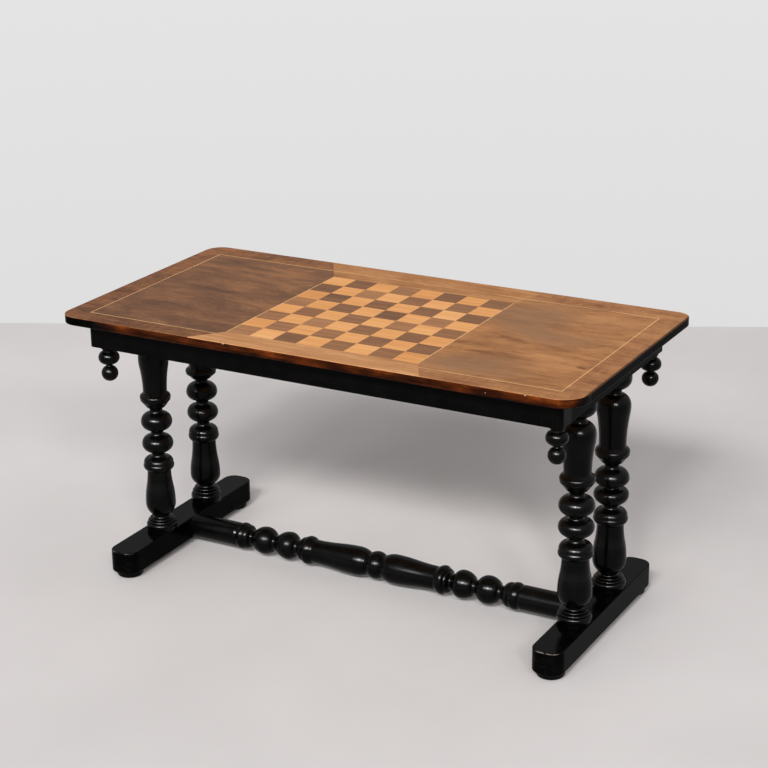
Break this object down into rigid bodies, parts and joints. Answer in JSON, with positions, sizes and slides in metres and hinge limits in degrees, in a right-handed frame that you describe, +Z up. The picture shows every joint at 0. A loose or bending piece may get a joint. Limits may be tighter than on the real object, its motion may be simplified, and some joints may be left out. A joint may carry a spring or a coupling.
{
  "type": "chess table",
  "caption": "Low oblong game table with a chess board inlaid in its veneered top, on black turned trestle legs joined by a turned stretcher.",
  "frame": {"origin": "on the floor, under the centre of the table top", "axes": "+X along the table's length, +Y from its front to its back, +Z up"},
  "size_m": [1.09, 0.552, 0.566],
  "materials": {
    "core_wood": "planed, unfinished",
    "field_veneer": "worn satin polish over brown veneer",
    "centre_veneer": "worn satin polish over paler veneer",
    "light_veneer": "worn satin polish over pale veneer",
    "dark_veneer": "worn satin polish over grey-brown veneer",
    "brown_edge": "polished, dark red-brown",
    "black_wood": "ebonised, semi-gloss",
    "peg_wood": "turned, unfinished",
    "screw_steel": "plain"
  },
  "bodies": {
    "root": {"back_apron": "black_wood", "back_border_veneer": "centre_veneer", "back_edge_band": "brown_edge", "back_field_veneer": "centre_veneer", "back_glue_blocks": "core_wood", "back_left_corner_post": "black_wood", "back_left_leg": "black_wood", "back_left_pad": "black_wood", "back_left_pendant": "black_wood", "back_right_corner_post": "black_wood", "back_right_leg": "black_wood", "back_right_pad": "black_wood", "back_right_pendant": "black_wood", "bearer_screws": "screw_steel", "board_stringing": "light_veneer", "dark_squares": "dark_veneer", "front_apron": "black_wood", "front_centre_veneer": "centre_veneer", "front_edge_band": "brown_edge", "front_glue_blocks": "core_wood", "front_left_corner_post": "black_wood", "front_left_leg": "black_wood", "front_left_pad": "black_wood", "front_left_pendant": "black_wood", "front_right_corner_post": "black_wood", "front_right_leg": "black_wood", "front_right_pad": "black_wood", "front_right_pendant": "black_wood", "left_apron": "black_wood", "left_bearer": "core_wood", "left_border_veneer": "field_veneer", "left_end_band": "black_wood", "left_field_veneer": "field_veneer", "left_foot": "black_wood", "light_squares": "light_veneer", "pad_screws": "screw_steel", "perimeter_stringing": "light_veneer", "right_apron": "black_wood", "right_bearer": "core_wood", "right_border_veneer": "field_veneer", "right_end_band": "black_wood", "right_field_veneer": "field_veneer", "right_foot": "black_wood", "stretcher": "black_wood", "stretcher_pegs": "peg_wood", "top_core": "core_wood", "top_screws": "screw_steel"}
  },
  "joints": []
}
